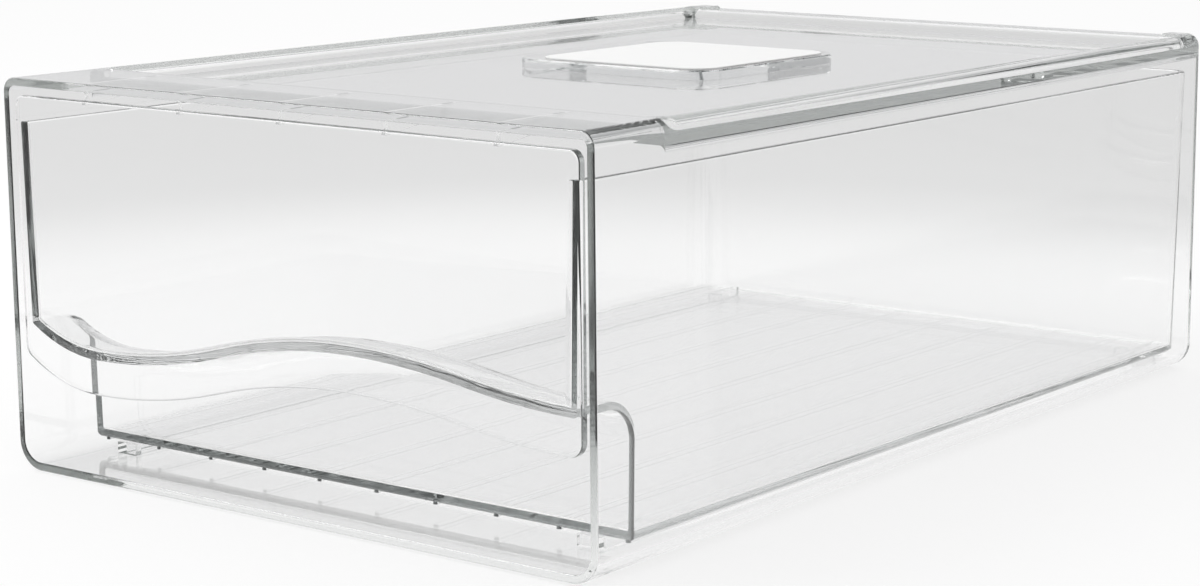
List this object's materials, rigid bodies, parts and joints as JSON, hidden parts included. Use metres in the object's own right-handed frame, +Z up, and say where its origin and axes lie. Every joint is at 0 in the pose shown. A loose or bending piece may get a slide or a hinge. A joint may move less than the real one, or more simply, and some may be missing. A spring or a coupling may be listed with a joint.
{
  "type": "fridge drawer organizer",
  "caption": "Clear moulded drawer organizer: an open-fronted case with a sunk top, and a slide-out drawer with a wavy finger pull.",
  "frame": {"origin": "centre of the case's plan, on the surface that it stands on", "axes": "Z up; -Y out of the open front, the way that the drawer slides; Y along the depth, the longest side; X across the width"},
  "size_m": [0.2, 0.306, 0.1066],
  "materials": {
    "clear_plastic": "clear polished injection moulding",
    "clear_pad": "clear and smooth",
    "white_label": "bare matt white film"
  },
  "bodies": {
    "case": {"case": "clear_plastic", "label_pad": "clear_pad", "label": "white_label"},
    "drawer": {"drawer": "clear_plastic"}
  },
  "joints": [
    {"name": "drawer_slide", "type": "slide", "parent": "case", "child": "drawer", "axis": [0, -1, 0], "range_m": [0, 0.2622]}
  ]
}
